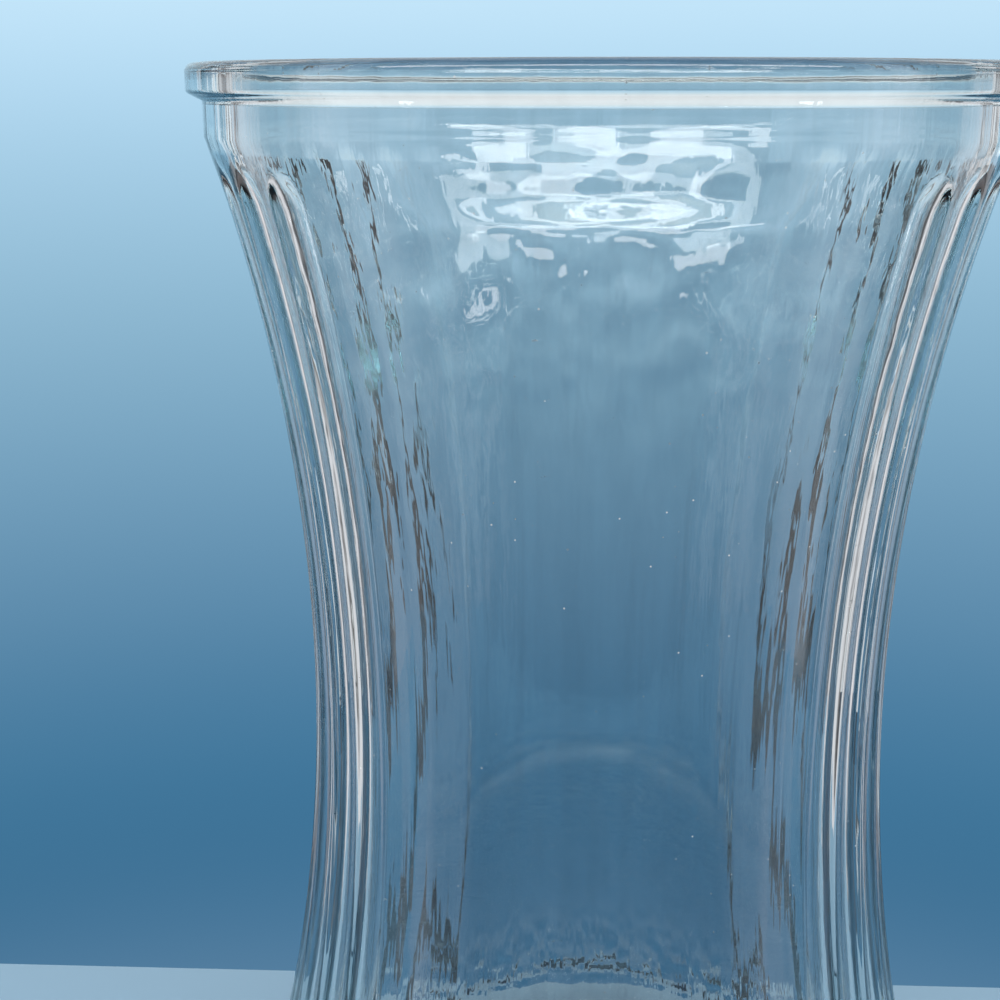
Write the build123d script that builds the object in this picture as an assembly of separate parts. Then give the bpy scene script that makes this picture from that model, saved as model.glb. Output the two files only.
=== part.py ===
from build123d import *
import os
from math import asin, cos, degrees, sin, sqrt

# Hourglass flower vase in clear pressed glass.
# Millimetres, +Z up, origin at the middle of the resting plane, front panel towards -Y.
# The glass is one pressing. It is given here as the regions that the mould forms,
# which meet face to face on radial and level planes.

# Overall shape: round, narrow at the waist, with flatter panels at the front and rear
height = 254.0
collar_radius = 73.2
waist_radius = 55.1
sides_proud = 1.6
waist_below_rim = 118.2
wall = 4.2

# Rim
bead_height = 6.4
bead_projection = 2.8
bead_underside_rise = 1.4
bead_top_round = 1.6
bead_lower_round = 1.0
collar_height = 6.0
lip_round = 2.4

# Foot and base: an upright foot as wide as the rim
floor_height = 10.0
floor_round = 8.0
floor_flat_margin = 3.0
wall_start_margin = 2.0
heel_round = 8.0
underside_hollow = 1.6
hollow_slope_width = 2.0
hollow_margin = 1.0

# Plain panels: the middle is flattened about an axis that lies behind the axis of the vase
panel_angle = 81.0
panel_recess_at_collar = 1.0
panel_axis_setback = 16.0

# Fluted sides, each in a front and a rear half
flutes_per_half = 5
flute_ball_radius = 10.0
flute_depth = 1.2
flute_top_below_collar = 6.0
flute_end_above_foot = 1.5

# Places that follow from the sizes above
bead_bottom = height - bead_height
collar_bottom = bead_bottom - collar_height
waist_height = height - waist_below_rim
foot_height = floor_height + floor_round + wall_start_margin
sides_waist_radius = waist_radius + sides_proud
half_side_angle = (180.0 - panel_angle) / 2
flute_pitch = half_side_angle / flutes_per_half
front_angle = -90.0
rear_angle = 90.0


# Upright arcs that lean out above and below the waist
def arc_radius(radius_at_waist, radius_at_collar):
    reach = collar_bottom - waist_height
    rise = radius_at_collar - radius_at_waist
    return (reach**2 + rise**2) / (2 * rise)


sides_arc_radius = arc_radius(sides_waist_radius, collar_radius)
sides_arc_centre = sides_waist_radius + sides_arc_radius
panel_arc_radius = arc_radius(waist_radius, collar_radius - panel_recess_at_collar)
panel_arc_centre = waist_radius + panel_arc_radius


# Half sections of the glass: radius along X, level along Z
def outer_radius(level):
    return sides_arc_centre - sqrt(sides_arc_radius**2 - (level - waist_height) ** 2)


def panel_radius(level):
    return panel_arc_centre - sqrt(panel_arc_radius**2 - (level - waist_height) ** 2)


def inner_radius(level):
    return panel_arc_centre - sqrt((panel_arc_radius + wall) ** 2 - (level - waist_height) ** 2)


foot_radius = outer_radius(foot_height)
well_radius = inner_radius(foot_height)
base_radius = well_radius - floor_round - floor_flat_margin
resting_ring_inner_radius = base_radius + hollow_slope_width + hollow_margin


def upright_arc(radius_at, start, end):
    middle = (start + end) / 2
    return ThreePointArc([(radius_at(level), 0, level) for level in (start, middle, end)])


def outline(*corners):
    return Polyline([(radius, 0, level) for radius, level in corners])


def section(*curves):
    return make_face([edge for curve in curves for edge in curve.edges()])


def rounded_corner(face, radius, level, size):
    corner = Vector(radius, 0, level)
    vertex = min(face.vertices(), key=lambda place: (place.center() - corner).length)
    return fillet(vertex, size)


def turned(face, start_angle, sweep_angle):
    return Rot(0, 0, start_angle) * revolve(face, Axis.Z, sweep_angle)


# Band with an upright face and rounded edges, on a plain upright collar
def make_rim():
    mouth_radius = inner_radius(collar_bottom)
    bead_radius = collar_radius + bead_projection
    bead_underside = bead_bottom + bead_underside_rise
    profile = outline(
        (collar_radius, bead_bottom),
        (bead_radius, bead_underside),
        (bead_radius, height),
        (mouth_radius, height),
        (mouth_radius, collar_bottom),
        (collar_radius, collar_bottom),
        (collar_radius, bead_bottom),
    )
    face = rounded_corner(section(profile), bead_radius, height, bead_top_round)
    face = rounded_corner(face, bead_radius, bead_underside, bead_lower_round)
    face = rounded_corner(face, mouth_radius, height, lip_round)
    return turned(face, 0, 360)


# One upright stretch of the wall between the foot and the collar
def make_wall(middle_angle, sweep_angle):
    face = section(
        upright_arc(outer_radius, foot_height, collar_bottom),
        outline((outer_radius(collar_bottom), collar_bottom), (inner_radius(collar_bottom), collar_bottom)),
        upright_arc(inner_radius, collar_bottom, foot_height),
        outline((inner_radius(foot_height), foot_height), (outer_radius(foot_height), foot_height)),
    )
    return turned(face, middle_angle - sweep_angle / 2, sweep_angle)


# Plain panel, flatter in its middle than the round of the sides
def make_panel(middle_angle):
    flat_side = section(
        upright_arc(panel_radius, 0, height),
        outline(
            (panel_radius(height), height),
            (-panel_axis_setback, height),
            (-panel_axis_setback, 0),
            (panel_radius(0), 0),
        ),
    )
    flattening = revolve(flat_side, Axis((-panel_axis_setback, 0, 0), (0, 0, 1)), 360)
    return make_wall(middle_angle, panel_angle) & Rot(0, 0, middle_angle) * flattening


# Scoop that a ball leaves when it runs down the side, with round ends
def make_scoop(angle):
    path_radius = sides_arc_radius - flute_ball_radius + flute_depth
    end_reach = sqrt(flute_ball_radius**2 - (flute_ball_radius - flute_depth) ** 2)
    low_level = foot_height + flute_end_above_foot + end_reach
    high_level = collar_bottom - flute_top_below_collar - end_reach
    low_angle = asin((low_level - waist_height) / path_radius)
    high_angle = asin((high_level - waist_height) / path_radius)
    low_end = Vector(sides_arc_centre - path_radius * cos(low_angle), 0, low_level)
    high_end = Vector(sides_arc_centre - path_radius * cos(high_angle), 0, high_level)
    along_path = Vector(sin(low_angle), 0, cos(low_angle))
    start_plane = Plane(low_end, x_dir=(0, 1, 0), z_dir=along_path)
    turning_axis = Axis((sides_arc_centre, 0, waist_height), (0, 1, 0))
    run = revolve(start_plane * Circle(flute_ball_radius), turning_axis, degrees(high_angle - low_angle))
    ends = [Pos(place) * Sphere(flute_ball_radius) for place in (low_end, high_end)]
    return [Rot(0, 0, angle) * piece for piece in (run, *ends)]


def make_fluted_half(middle_angle):
    half = make_wall(middle_angle, half_side_angle)
    first_angle = middle_angle - half_side_angle / 2 + flute_pitch / 2
    for count in range(flutes_per_half):
        for scoop in make_scoop(first_angle + count * flute_pitch):
            half = half - scoop
    return half


# Heel, resting ring and the round corner inside
def make_foot_ring():
    ring = outline(
        (base_radius, floor_height),
        (base_radius, underside_hollow),
        (resting_ring_inner_radius - hollow_slope_width, underside_hollow),
        (resting_ring_inner_radius, 0),
        (foot_radius, 0),
        (foot_radius, foot_height),
        (well_radius, foot_height),
        (well_radius, floor_height),
        (base_radius, floor_height),
    )
    face = rounded_corner(section(ring), foot_radius, 0, heel_round)
    face = rounded_corner(face, well_radius, floor_height, floor_round)
    return turned(face, 0, 360)


# Thick floor inside the foot ring, hollow underneath
def make_base():
    thickness = floor_height - underside_hollow
    return Pos(0, 0, underside_hollow + thickness / 2) * Cylinder(base_radius, thickness)


past_panel = (panel_angle + half_side_angle) / 2
pieces = {
    "rim": make_rim(),
    "foot_ring": make_foot_ring(),
    "base": make_base(),
    "front_panel": make_panel(front_angle),
    "rear_panel": make_panel(rear_angle),
    "front_right_flutes": make_fluted_half(front_angle + past_panel),
    "rear_right_flutes": make_fluted_half(rear_angle - past_panel),
    "rear_left_flutes": make_fluted_half(rear_angle + past_panel),
    "front_left_flutes": make_fluted_half(front_angle - past_panel),
}

os.makedirs("parts", exist_ok=True)
for name, piece in pieces.items():
    export_step(piece, f"parts/{name}.step")
    print(name, round(piece.volume), "cubic mm")
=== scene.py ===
from math import atan2, cos, pi, radians, sin, sqrt, tan

import bpy
import numpy as np
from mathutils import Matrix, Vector


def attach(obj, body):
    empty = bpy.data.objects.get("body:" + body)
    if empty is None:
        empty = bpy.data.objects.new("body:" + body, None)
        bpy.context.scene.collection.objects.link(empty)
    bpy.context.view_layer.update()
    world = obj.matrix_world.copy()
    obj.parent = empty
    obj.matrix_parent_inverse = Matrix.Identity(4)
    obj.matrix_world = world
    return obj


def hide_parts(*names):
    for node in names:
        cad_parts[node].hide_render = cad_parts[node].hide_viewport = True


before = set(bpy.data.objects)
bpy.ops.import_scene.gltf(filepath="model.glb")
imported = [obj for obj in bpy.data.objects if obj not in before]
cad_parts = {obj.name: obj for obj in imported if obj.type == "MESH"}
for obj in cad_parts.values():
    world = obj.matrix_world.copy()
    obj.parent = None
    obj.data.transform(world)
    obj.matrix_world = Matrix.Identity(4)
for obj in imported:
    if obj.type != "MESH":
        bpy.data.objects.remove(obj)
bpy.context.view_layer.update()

scene = bpy.context.scene
scene.view_settings.view_transform = "Standard"
mm = 0.001  # the shapes of the glass are in millimetres
print("frame loaded:", len(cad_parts), "nodes")


# the pressing itself, same sizes as its CAD solids
vase = {
    "height": 254.0,
    "collarRadius": 73.2,
    "waistRadius": 55.1,
    "sidesProud": 1.6,       # fluted sides stand out from the panels at the waist
    "waistLevel": 135.8,
    "wall": 4.2,
    "beadHeight": 6.4,
    "beadOut": 2.8,
    "beadUnder": 1.4,        # rise of the sloped underside
    "beadTopRound": 1.6,
    "beadLowRound": 1.0,
    "collarHeight": 6.0,
    "lipRound": 2.4,
    "footHeight": 20.0,
    "heelRound": 8.0,
    "floorLevel": 10.0,
    "floorRound": 8.0,
    "underside": 1.6,        # hollow under the base
    "ringWidth": 5.3,        # flat ring that rests on the table
    "hollowSlope": 2.0,
}
panel = {
    "half": 40.5,            # degrees either side of its middle
    "recess": 1.0,           # at the collar
    "setback": 16.0,         # axis of the flatter panel, behind the vase axis
    "top": 235.5,
    "bottom": 22.0,
    "fade": 6.0,
    "crease": 0.35,          # softness of the edge of the flatter middle
}
flute = {
    "count": 10,             # on each side
    "pitch": 9.9,            # degrees
    "ball": 10.0,
    "depth": 1.2,
    "top": 230.85,           # level of the upper ball centre
    "bottom": 26.25,
    "endBall": 14.0,         # slow run-out at both ends
    "frontRidge": 0.16,      # softness of the ridges
    "rearRidge": 0.9,
    "ridgeTurn": (80.0, 110.0),     # degrees from the front where one becomes the other
}

beadBottom = vase["height"] - vase["beadHeight"]
collarBottom = beadBottom - vase["collarHeight"]
sidesWaist = vase["waistRadius"] + vase["sidesProud"]
reach = collarBottom - vase["waistLevel"]


def arcRadius(rise):
    return (reach ** 2 + rise ** 2) / (2 * rise)


sidesArc = arcRadius(vase["collarRadius"] - sidesWaist)
panelArc = arcRadius(vase["collarRadius"] - panel["recess"] - vase["waistRadius"])


def arcOut(level, waist, arc):
    return waist + arc - np.sqrt(arc ** 2 - (level - vase["waistLevel"]) ** 2)


def innerRadius(level):
    arc = panelArc + vase["wall"]
    return vase["waistRadius"] + panelArc - np.sqrt(arc ** 2 - (level - vase["waistLevel"]) ** 2)


footRadius = arcOut(vase["footHeight"], sidesWaist, sidesArc)
wellRadius = innerRadius(vase["footHeight"])


def smooth(low, high, value):
    t = np.clip((value - low) / (high - low), 0, 1)
    return t * t * (3 - 2 * t)


def softMax(a, b, width):
    gap = np.maximum(width - np.abs(a - b), 0) / width
    return np.maximum(a, b) + gap * gap * width / 4


def softMin(a, b, width):
    return -softMax(-a, -b, width)


def fromFront(angle):
    return np.abs((angle + 180) % 360 - 180)


# shallow waves left by the mould and the plunger, the same every run
waveSets = {
    "settle": {"seed": 11, "count": 26, "length": 8.0, "stretch": 1.0, "height": 0.07},
    "sag": {"seed": 19, "count": 22, "length": 21.0, "stretch": 0.8, "height": 0.24},
    "draw": {"seed": 23, "count": 22, "length": 9.0, "stretch": 14.0, "height": 0.016},
    "skin": {"seed": 37, "count": 26, "length": 11.0, "stretch": 1.4, "height": 0.015},
    "floor": {"seed": 53, "count": 20, "length": 17.0, "height": 0.32},
}
lengthSpread = (0.7, 1.4)
wrapRadius = 62.0           # where the lengths round the vase are true
wallWaves = {
    "rearTurn": (100.0, 155.0),     # degrees from the front where the rear's waves set in
    "outerUpper": (164.0, 219.0),   # levels where the upper waves set in
    "innerUpper": (160.0, 212.0),
    "innerLow": (22.0, 50.0),
    "upperEnd": (3.0, -6.0),        # from the collar's lower edge
    "drawEnd": (0.0, -8.0),
    "panelEdge": 5.0,
    "frontSettle": 0.15,            # share of the settling that the front has
    "outerSag": 0.5,
    "sagShift": 71,
    "drawShift": 17,
}


def waves(angle, level, name):
    kind = waveSets[name]
    pick = np.random.RandomState(kind["seed"])
    total = np.zeros(np.broadcast(angle, level).shape)
    for n in range(kind["count"]):
        turn = pick.uniform(0, 2 * pi)
        length = kind["length"] * pick.uniform(*lengthSpread)
        around = round(2 * pi * wrapRadius / length * cos(turn))
        upward = 2 * pi / (length * kind["stretch"]) * sin(turn)
        total = total + np.sin(np.radians(angle) * around + level * upward + pick.uniform(0, 2 * pi))
    return total * kind["height"] / sqrt(kind["count"] / 2)


def floorWaves(angle, radius):
    kind = waveSets["floor"]
    pick = np.random.RandomState(kind["seed"])
    x, y = radius * np.cos(np.radians(angle)), radius * np.sin(np.radians(angle))
    total = np.zeros_like(x)
    for n in range(kind["count"]):
        turn = pick.uniform(0, 2 * pi)
        pull = 2 * pi / (kind["length"] * pick.uniform(*lengthSpread))
        total = total + np.sin(pull * (x * cos(turn) + y * sin(turn)) + pick.uniform(0, 2 * pi))
    return total * kind["height"] / sqrt(kind["count"] / 2)


def rearShare(angle):
    # 0 at the front, 1 on the far panel
    return smooth(*wallWaves["rearTurn"], fromFront(angle))


def fluteCut(angle, level, radius):
    cut = np.full(np.broadcast(angle, level).shape, -flute["ball"])
    over = np.maximum(level - flute["top"], 0) + np.maximum(flute["bottom"] - level, 0)
    depth = flute["depth"] - over ** 2 / (2 * flute["endBall"])
    side = (angle % 180) - 90
    for n in range(flute["count"]):
        middle = (n - (flute["count"] - 1) / 2) * flute["pitch"]
        across = np.radians(side - middle) * radius
        cut = np.maximum(cut, depth - across ** 2 / 2 * (1 / flute["ball"] + 1 / radius))
    toRear = smooth(*flute["ridgeTurn"], fromFront(angle))
    ridge = flute["frontRidge"] + (flute["rearRidge"] - flute["frontRidge"]) * toRear
    return softMax(cut, np.zeros_like(cut), ridge)


def outerWall(angle, level):
    plain = arcOut(level, sidesWaist, sidesArc)
    off = np.radians((angle + 90) % 180 - 90)
    middle = arcOut(level, vase["waistRadius"], panelArc)
    back = panel["setback"]
    flat = -back * np.cos(off) + np.sqrt((middle + back) ** 2 - (back * np.sin(off)) ** 2)
    shape = smooth(panel["bottom"], panel["bottom"] + panel["fade"], level)
    shape = shape * smooth(panel["top"], panel["top"] - panel["fade"], level)
    body = plain + (softMin(flat, plain, panel["crease"]) - plain) * shape
    inPanel = smooth(panel["half"], panel["half"] - wallWaves["panelEdge"], np.abs(np.degrees(off)))
    upper = smooth(*wallWaves["outerUpper"], level)
    sag = waves(angle + wallWaves["sagShift"], level, "sag") * wallWaves["outerSag"]
    ripple = waves(angle, level, "draw") + waves(angle, level, "skin") * upper
    ripple = ripple + sag * upper * rearShare(angle)
    return body - fluteCut(angle, level, plain) + ripple * inPanel * shape


def innerWall(angle, level):
    fromCollar = level - collarBottom
    upper = smooth(*wallWaves["innerUpper"], level) * smooth(*wallWaves["upperEnd"], fromCollar)
    plain = smooth(*wallWaves["innerLow"], level) * smooth(*wallWaves["drawEnd"], fromCollar)
    rear = rearShare(angle)
    share = wallWaves["frontSettle"] + (1 - wallWaves["frontSettle"]) * rear
    settle = waves(angle, level, "settle") * upper * share + waves(angle, level, "sag") * upper * rear
    return innerRadius(level) + settle + waves(angle + wallWaves["drawShift"], level, "draw") * plain


# mesh columns in degrees: close on the fluted sides, where plain rings keep one in three
columns = {"edge": 40, "panelStep": 1.0, "sideStep": 0.4, "fewer": 3}
rows = {
    # a level and the step from there to the next one
    "outer": [
        (vase["footHeight"], 1.0), (32.0, 6.0), (180.0, 3.0),
        (222.0, 1.0), (238.0, 2.0), (collarBottom, 1),
    ],
    "collar": [(collarBottom + 2.0, 2.0), (beadBottom - 0.6, 1)],
    "inner": [(vase["height"] - 5.0, 1.5), (180.0, 6.0), (vase["footHeight"], 1)],
    "foot": vase["footHeight"] - 6.0,
    "floorEdge": 2.5,        # first floor ring, inside the round
    "floorMiddle": 5.0,
    "floorCount": 14,
    "floorFade": 8.0,
    "largeRound": 10,        # points along the rounds
    "smallRound": 8,
    "beadLowRound": 6,
}


def columnAngles():
    edge = columns["edge"]
    plain = np.arange(-edge, edge, columns["panelStep"])
    fluted = np.arange(edge, 180 - edge, columns["sideStep"])
    half = np.concatenate([plain, fluted])
    return np.concatenate([half, half + 180])


def fewerColumns(angles):
    # all in the panels, one in a few on the sides
    half = len(angles) // 2
    plain = [n for n in range(half) if angles[n] < columns["edge"]]
    few = plain + list(range(len(plain), half, columns["fewer"]))
    return np.array(few + [n + half for n in few])


def levelsBetween(marks):
    levels = []
    for (start, step), (end, _) in zip(marks[:-1], marks[1:]):
        levels += list(np.linspace(start, end, max(1, round(abs(end - start) / step)), endpoint=False))
    return levels + [marks[-1][0]]


def arcPoints(centre, radius, start, end, count):
    turn = np.radians(np.linspace(start, end, count))
    return [(centre[0] + radius * cos(t), centre[1] + radius * sin(t)) for t in turn]


def heelRound():
    size = vase["heelRound"]
    return arcPoints((footRadius - size, size), size, -90, 0, rows["largeRound"])


def floorRound():
    size = vase["floorRound"]
    return arcPoints((wellRadius - size, vase["floorLevel"] + size), size, 0, -90, rows["largeRound"])


def beadRound():
    # sloped underside, round, upright face, round
    out = vase["collarRadius"] + vase["beadOut"]
    slope = atan2(vase["beadUnder"], vase["beadOut"])
    size = vase["beadLowRound"]
    low = beadBottom + vase["beadUnder"] + size * tan(pi / 4 - slope / 2)
    under = arcPoints((out - size, low), size, np.degrees(slope) - 90, 0, rows["beadLowRound"])
    size = vase["beadTopRound"]
    over = arcPoints((out - size, vase["height"] - size), size, 0, 90, rows["smallRound"])
    return [(vase["collarRadius"], beadBottom)] + under + over


def lipRound():
    size = vase["lipRound"]
    mouth = innerRadius(collarBottom)
    return arcPoints((mouth + size, vase["height"] - size), size, 90, 180, rows["smallRound"])


def glassRings(angles, fewer):
    every = np.arange(len(angles))
    rings = []                      # each ring: radii, levels, column picks

    def turned(radius, level, picked):
        shape = (len(picked),)
        rings.append((np.broadcast_to(radius, shape), np.broadcast_to(level, shape), picked))

    # outside, from under the base up to the rim
    ringInside = footRadius - vase["heelRound"] - vase["ringWidth"]
    turned(ringInside - vase["hollowSlope"], vase["underside"], fewer)
    turned(ringInside, 0.0, fewer)
    for radius, level in heelRound() + [(footRadius, rows["foot"])]:
        turned(radius, level, fewer)
    for level in levelsBetween(rows["outer"]):
        turned(outerWall(angles, level), level, every)
    for level in levelsBetween(rows["collar"]):
        turned(vase["collarRadius"], level, every)
    for radius, level in beadRound() + lipRound():
        turned(radius, level, fewer)
    # inside, down to the floor
    for level in levelsBetween(rows["inner"]):
        radius = innerRadius(collarBottom) if level > collarBottom else innerWall(angles[fewer], level)
        turned(radius, level, fewer)
    for radius, level in floorRound():
        turned(radius, level, fewer)
    floorEdge = wellRadius - vase["floorRound"]
    for radius in np.linspace(floorEdge - rows["floorEdge"], rows["floorMiddle"], rows["floorCount"]):
        inward = smooth(floorEdge, floorEdge - rows["floorFade"], radius)
        turned(radius, vase["floorLevel"] + floorWaves(angles[fewer], radius) * inward, fewer)
    return rings


def evenBand(low, high, count):
    band = []
    for k in range(count):
        after = (k + 1) % count
        band.append((low + k, low + after, high + after, high + k))
    return band


def changeBand(coarse, fine, fewer, count):
    # wider faces where the number of columns changes
    band = []
    for k in range(len(fewer)):
        after = (k + 1) % len(fewer)
        end = fewer[after] if after else count
        run = [fine + c % count for c in range(fewer[k], end + 1)]
        band.append((coarse + k, coarse + after, *run[::-1]))
    return band


def pressGlass():
    angles = columnAngles()
    fewer = fewerColumns(angles)
    rings = glassRings(angles, fewer)
    points, faces, starts = [], [], []
    for radius, level, picked in rings:
        starts.append(len(points))
        turn = np.radians(angles[picked])
        points += zip(radius * np.sin(turn) * mm, -radius * np.cos(turn) * mm, level * mm)
    for n in range(len(rings) - 1):
        low, high = len(rings[n][2]), len(rings[n + 1][2])
        if low == high:
            faces += evenBand(starts[n], starts[n + 1], low)
        elif low < high:
            faces += changeBand(starts[n], starts[n + 1], fewer, len(angles))
        else:
            faces += [face[::-1] for face in changeBand(starts[n + 1], starts[n], fewer, len(angles))]
    # middles of the underside and of the floor
    under, inside = len(points), len(points) + 1
    points += [(0, 0, vase["underside"] * mm), (0, 0, vase["floorLevel"] * mm)]
    for k in range(len(fewer)):
        after = (k + 1) % len(fewer)
        faces.append((under, starts[0] + after, starts[0] + k))
        faces.append((inside, starts[-1] + k, starts[-1] + after))
    mesh = bpy.data.meshes.new("pressedVase")
    mesh.from_pydata(points, [], faces)
    mesh.polygons.foreach_set("use_smooth", [True] * len(mesh.polygons))
    mesh.update()
    piece = bpy.data.objects.new("pressed_vase", mesh)
    scene.collection.objects.link(piece)
    print("glass:", len(rings), "rings,", len(points), "points,", len(faces), "faces")
    return piece


# small helpers for node trees
def addNode(tree, kind, inputs=None, **settings):
    node = tree.nodes.new("ShaderNode" + kind)
    for name, value in settings.items():
        setattr(node, name, value)
    for socket, value in (inputs or {}).items():
        node.inputs[socket].default_value = value
    return node


def addRange(tree, source, fromEnds, toEnds=(0.0, 1.0), blend="LINEAR"):
    ends = {"From Min": fromEnds[0], "From Max": fromEnds[1], "To Min": toEnds[0], "To Max": toEnds[1]}
    node = addNode(tree, "MapRange", ends, interpolation_type=blend)
    tree.links.new(source, node.inputs["Value"])
    return node.outputs["Result"]


def addMaximum(tree, first, second):
    node = addNode(tree, "Math", operation="MAXIMUM")
    tree.links.new(first, node.inputs[0])
    tree.links.new(second, node.inputs[1])
    return node.outputs[0]


def addBlend(tree, factor, first, second):
    # either side is a colour or a socket
    node = addNode(tree, "Mix", data_type="RGBA")
    tree.links.new(factor, node.inputs["Factor"])
    for socket, side in (("A", first), ("B", second)):
        if isinstance(side, tuple):
            node.inputs[socket].default_value = side
        else:
            tree.links.new(side, node.inputs[socket])
    return node.outputs["Result"]


def addNoise(tree, place, kind):
    node = addNode(tree, "TexNoise", {"Scale": kind["scale"], "Detail": kind["detail"]})
    if "stretch" in kind:
        longer = addNode(tree, "VectorMath", {1: (1, 1, kind["stretch"])}, operation="MULTIPLY")
        tree.links.new(place, longer.inputs[0])
        place = longer.outputs[0]
    tree.links.new(place, node.inputs["Vector"])
    return node.outputs["Fac"]


def addBump(tree, height, kind, under=None):
    node = addNode(tree, "Bump", {"Strength": kind.get("strength", 1.0), "Distance": kind["distance"]})
    tree.links.new(height, node.inputs["Height"])
    if under:
        tree.links.new(under, node.inputs["Normal"])
    return node


# the look of the glass, with its lengths in metres
glass = {
    "tint": (0.965, 0.97, 0.967, 1),
    "depthColour": (0.1, 0.42, 0.5, 1),
    "depthDensity": 20.0,       # per metre of glass
    "ior": 1.5,
    # roughness: clean and handled places, then from the ground underside to the floor
    "handled": {"scale": 34.0, "detail": 4.0, "from": (0.55, 0.8), "to": (0.0, 0.012)},
    "worn": {"levels": (0.0017, 0.0105), "to": (0.3, 0.0)},
    # fire-polished skin
    "peel": {"scale": 260.0, "detail": 1.0, "strength": 0.02, "distance": 0.0005},
    # upright film and lines where water has run and dried
    "film": {"scale": 260.0, "detail": 3.0, "stretch": 0.02, "from": (0.42, 0.68)},
    "filmTint": (0.9, 0.905, 0.905, 1),
    "drawn": {"strength": 0.15, "distance": 0.0004},
    # streaks, strongest near the foot
    "streak": {"scale": 380.0, "detail": 1.0, "stretch": 0.06, "distance": 0.003},
    "streakLevels": (0.030, 0.048),
    "streakStrength": (0.45, 0.006),
    # dust and seeds on the skin
    "speck": {"scale": 230.0, "from": (0.0252, 0.042), "clear": (0.45, 1.0)},
}


def clearGlass():
    material = bpy.data.materials.new("clear_pressed_glass")
    material.use_nodes = True
    tree = material.node_tree
    link = tree.links.new
    shader = tree.nodes["Principled BSDF"]
    shader.inputs["IOR"].default_value = glass["ior"]
    place = addNode(tree, "TexCoord").outputs["Object"]
    split = addNode(tree, "SeparateXYZ")
    link(place, split.inputs[0])
    level = split.outputs["Z"]
    dried = addNoise(tree, place, glass["film"])

    touched = addNoise(tree, place, glass["handled"])
    handled = addRange(tree, touched, glass["handled"]["from"], glass["handled"]["to"])
    worn = addRange(tree, level, glass["worn"]["levels"], glass["worn"]["to"])
    link(addMaximum(tree, worn, handled), shader.inputs["Roughness"])

    skin = addBump(tree, addNoise(tree, place, glass["peel"]), glass["peel"])
    drawn = addBump(tree, dried, glass["drawn"], skin.outputs["Normal"])
    comb = addBump(tree, addNoise(tree, place, glass["streak"]), glass["streak"], drawn.outputs["Normal"])
    link(addRange(tree, level, glass["streakLevels"], glass["streakStrength"]), comb.inputs["Strength"])
    link(comb.outputs["Normal"], shader.inputs["Normal"])

    film = addRange(tree, dried, glass["film"]["from"])
    link(addBlend(tree, film, glass["tint"], glass["filmTint"]), shader.inputs["Base Color"])

    speck = addNode(tree, "TexVoronoi", {"Scale": glass["speck"]["scale"]})
    link(place, speck.inputs["Vector"])
    clear = addRange(tree, speck.outputs["Distance"], glass["speck"]["from"], glass["speck"]["clear"])
    link(clear, shader.inputs["Transmission Weight"])

    depth = {"Color": glass["depthColour"], "Density": glass["depthDensity"]}
    body = addNode(tree, "VolumeAbsorption", depth)
    link(body.outputs[0], tree.nodes["Material Output"].inputs["Volume"])
    return material


pressedVase = pressGlass()
pressedVase.data.materials.append(clearGlass())
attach(pressedVase, "root")
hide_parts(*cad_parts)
print("glass dressed")


def seenRays(tree):
    # 1 for rays that show the background: direct, mirrored and through the glass
    light = addNode(tree, "LightPath")
    total = light.outputs["Is Camera Ray"]
    for kind in ("Is Glossy Ray", "Is Transmission Ray"):
        total = addMaximum(tree, total, light.outputs[kind])
    return total


# stage: pale table whose far edge lies close behind the vase
table = {
    "width": 0.7, "front": -0.12, "back": 0.101, "turn": 1.4, "thick": 0.02,
    "paint": (0.26, 0.43, 0.58, 1), "roughness": 0.6, "glow": 0.1,
}


def layTable():
    left, right = -table["width"] / 2, table["width"] / 2
    front, back = table["front"], table["back"]
    outline = ((left, front), (right, front), (right, back), (left, back))
    corners = [(x, y, z) for z in (-table["thick"], 0) for x, y in outline]
    sides = [(4, 5, 6, 7), (3, 2, 1, 0)] + [(k, (k + 1) % 4, 4 + (k + 1) % 4, 4 + k) for k in range(4)]
    mesh = bpy.data.meshes.new("table")
    mesh.from_pydata(corners, [], sides)
    top = bpy.data.objects.new("table", mesh)
    top.rotation_euler.z = radians(table["turn"])
    scene.collection.objects.link(top)
    material = bpy.data.materials.new("pale_table")
    material.use_nodes = True
    tree = material.node_tree
    shader = tree.nodes["Principled BSDF"]
    shader.inputs["Base Color"].default_value = table["paint"]
    shader.inputs["Roughness"].default_value = table["roughness"]
    shader.inputs["Emission Color"].default_value = table["paint"]
    glow = addNode(tree, "Math", {1: table["glow"]}, operation="MULTIPLY")
    tree.links.new(seenRays(tree), glow.inputs[0])
    tree.links.new(glow.outputs[0], shader.inputs["Emission Strength"])
    mesh.materials.append(material)


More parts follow.
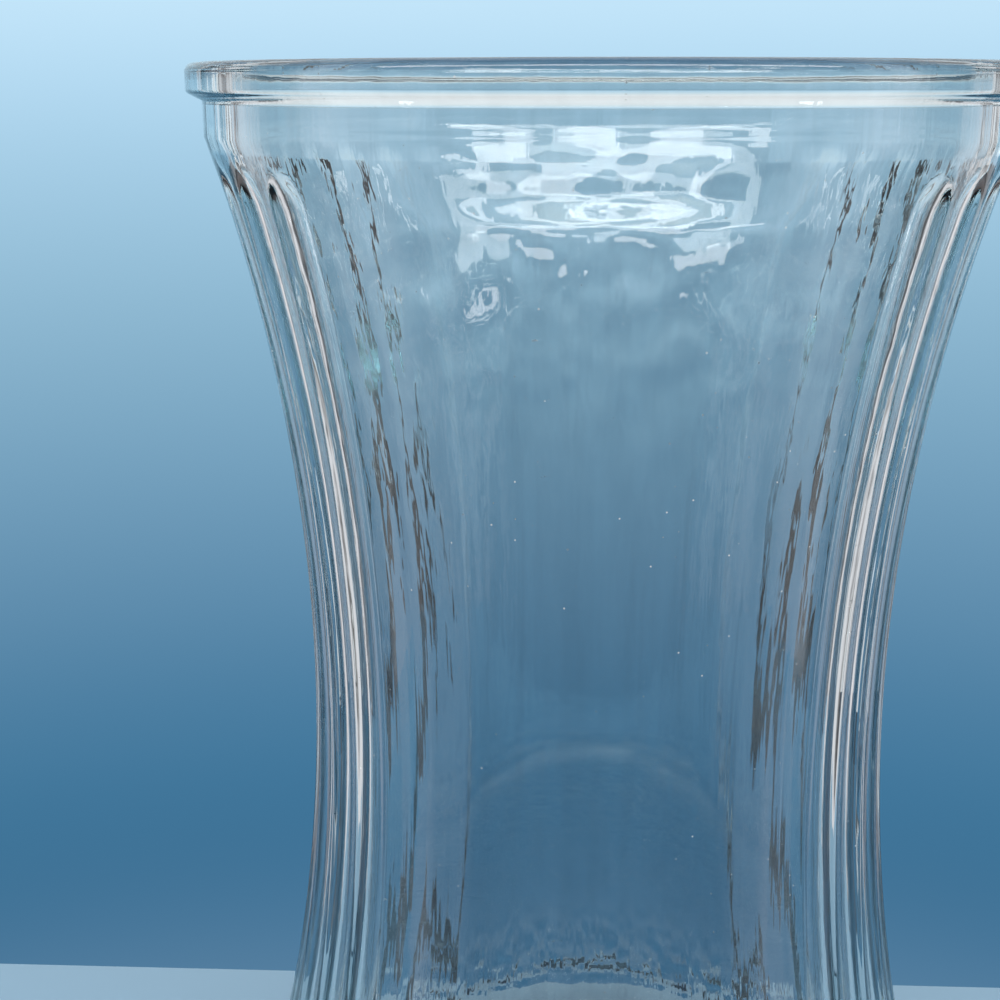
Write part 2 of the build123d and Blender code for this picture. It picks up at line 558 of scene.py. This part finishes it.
# a sheet hangs straight ahead, the rest of the room is dim with two pale stretches on each side
backdrop = {
    "sheetEnds": (40.0, 48.0),          # degrees from straight ahead where it fades out
    "ceilingEnds": (12.0, 40.0),        # elevation where the pale ceiling sets in
    "ceiling": (0.85, 0.88, 0.9, 1),
    "fill": (0.5, 0.5, 0.5, 1),         # plain light on the table
    "room": (
        # degrees from straight ahead, colour
        (0.0, (0.05, 0.045, 0.042)),
        (48.0, (0.05, 0.045, 0.042)),
        (56.0, (0.95, 0.89, 0.91)),
        (64.0, (0.95, 0.89, 0.91)),
        (70.0, (0.12, 0.115, 0.12)),
        (92.0, (0.12, 0.115, 0.12)),
        (98.0, (0.9, 0.85, 0.87)),
        (112.0, (0.9, 0.85, 0.87)),
        (122.0, (0.14, 0.095, 0.08)),
        (180.0, (0.11, 0.078, 0.068)),
    ),
    "sheet": (
        # elevation in degrees, colour
        (-90.0, (0.1, 0.2, 0.31)),
        # painted shade: from -36 to -28 degrees the sheet holds a soft shadow painted along the table's far
        # edge, darkest at -28 and lighter again below -31.5
        (-36.0, (0.13, 0.25, 0.38)),
        (-31.5, (0.08, 0.2, 0.34)),
        (-28.0, (0.046, 0.162, 0.295)),
        (-24.0, (0.054, 0.188, 0.335)),
        (-19.0, (0.105, 0.25, 0.402)),
        (-13.4, (0.178, 0.356, 0.515)),
        (-7.8, (0.27, 0.479, 0.638)),
        (-2.4, (0.381, 0.617, 0.799)),
        (2.5, (0.533, 0.784, 0.973)),
        (10.0, (0.7, 0.9, 1.0)),
        (20.0, (0.95, 0.98, 1.0)),
        (45.0, (1.0, 1.0, 1.0)),
        (90.0, (0.9, 0.9, 0.9)),
    ),
}


def toneRamp(tree, source, tones, kind):
    # source runs in radians over the degrees of the tones
    low, high = tones[0][0], tones[-1][0]
    ramp = addNode(tree, "ValToRGB")
    ramp.color_ramp.interpolation = kind
    stops = ramp.color_ramp.elements
    for n, (degrees, colour) in enumerate(tones):
        spot = (degrees - low) / (high - low)
        stop = stops[n] if n < 1 else (stops.new(spot) if n < len(tones) - 1 else stops[-1])
        stop.position = spot
        stop.color = (*colour, 1)
    tree.links.new(addRange(tree, source, (radians(low), radians(high))), ramp.inputs["Fac"])
    return ramp.outputs["Color"]


def hangBackdrop():
    world = bpy.data.worlds.new("studio")
    scene.world = world
    world.use_nodes = True
    tree = world.node_tree
    link = tree.links.new
    split = addNode(tree, "SeparateXYZ")
    link(addNode(tree, "TexCoord").outputs["Generated"], split.inputs[0])
    tilt = addNode(tree, "Math", operation="ARCSINE")
    link(split.outputs["Z"], tilt.inputs[0])
    turn = addNode(tree, "Math", operation="ARCTAN2")
    link(split.outputs["X"], turn.inputs[0])
    link(split.outputs["Y"], turn.inputs[1])
    aside = addNode(tree, "Math", operation="ABSOLUTE")
    link(turn.outputs[0], aside.inputs[0])

    sheet = toneRamp(tree, tilt.outputs[0], backdrop["sheet"], "B_SPLINE")
    walls = toneRamp(tree, aside.outputs[0], backdrop["room"], "LINEAR")
    ends = [radians(end) for end in backdrop["ceilingEnds"]]
    above = addRange(tree, tilt.outputs[0], ends, blend="SMOOTHSTEP")
    room = addBlend(tree, above, walls, backdrop["ceiling"])
    ends = [radians(end) for end in backdrop["sheetEnds"]]
    past = addRange(tree, aside.outputs[0], ends, blend="SMOOTHSTEP")
    around = addBlend(tree, past, sheet, room)
    link(addBlend(tree, seenRays(tree), backdrop["fill"], around), tree.nodes["Background"].inputs["Color"])


# soft lamps: where they stand, what they look at, width and height, brightness, colour
lamps = {
    "window": {
        "at": (0, -0.98, 0.98), "to": (0, 0.03, 0.2),
        "size": (3.4, 0.26), "shine": 8.0, "colour": (1, 0.93, 0.88),
    },
    "leftStrip": {
        "at": (-1.1, -0.25, 0.35), "to": (0, 0, 0.14),
        "size": (0.12, 0.9), "shine": 0.4, "colour": (1, 0.97, 0.96),
    },
    "rightStrip": {
        "at": (1.1, -0.3, 0.35), "to": (0, 0, 0.14),
        "size": (0.16, 0.9), "shine": 0.4, "colour": (1, 0.93, 0.92),
    },
    "backLeft": {
        "at": (-0.95, 0.85, 0.2), "to": (0, 0, 0.14),
        "size": (0.1, 1.2), "shine": 0.8, "colour": (1, 0.97, 0.96),
    },
    "backRight": {
        "at": (0.95, 0.85, 0.2), "to": (0, 0, 0.14),
        "size": (0.16, 1.2), "shine": 0.8, "colour": (1, 0.94, 0.93),
    },
    "overhead": {
        "at": (0.0, 0.4, 1.4), "to": (0, 0, 0.1),
        "size": (0.9, 0.9), "shine": 0.5, "colour": (1, 1, 1),
    },
}


def hangLamps():
    for name, lamp in lamps.items():
        light = bpy.data.lights.new(name, "AREA")
        light.shape = "RECTANGLE"
        light.size, light.size_y = lamp["size"]
        light.energy = lamp["shine"] * pi * light.size * light.size_y
        light.color = lamp["colour"]
        holder = bpy.data.objects.new(name, light)
        holder.location = lamp["at"]
        aim = Vector(lamp["to"]) - Vector(lamp["at"])
        holder.rotation_euler = aim.to_track_quat("-Z", "Y").to_euler()
        holder.visible_camera = False
        scene.collection.objects.link(holder)


# camera just in front of the vase, level with the rim and tipped down
view = {
    "back": 0.2911, "level": 0.25052, "yaw": 3.86, "pitch": 15.26,
    "lens": 55.0, "sensor": 36.0, "near": 0.01,
}


def placeCamera():
    eye = bpy.data.cameras.new("camera")
    eye.sensor_width = view["sensor"]
    eye.lens = view["lens"]
    eye.clip_start = view["near"]
    holder = bpy.data.objects.new("camera", eye)
    holder.location = (0, -view["back"], view["level"])
    yaw, pitch = radians(view["yaw"]), radians(view["pitch"])
    ahead = Vector((-sin(yaw) * cos(pitch), cos(yaw) * cos(pitch), -sin(pitch)))
    holder.rotation_euler = ahead.to_track_quat("-Z", "Y").to_euler()
    scene.collection.objects.link(holder)
    scene.camera = holder


layTable()
hangBackdrop()
hangLamps()
placeCamera()
bounces = 48  # the light crosses many surfaces in the flutes
scene.cycles.max_bounces = bounces
scene.cycles.transmission_bounces = bounces
scene.cycles.glossy_bounces = bounces
print("stage, lamps and camera placed")
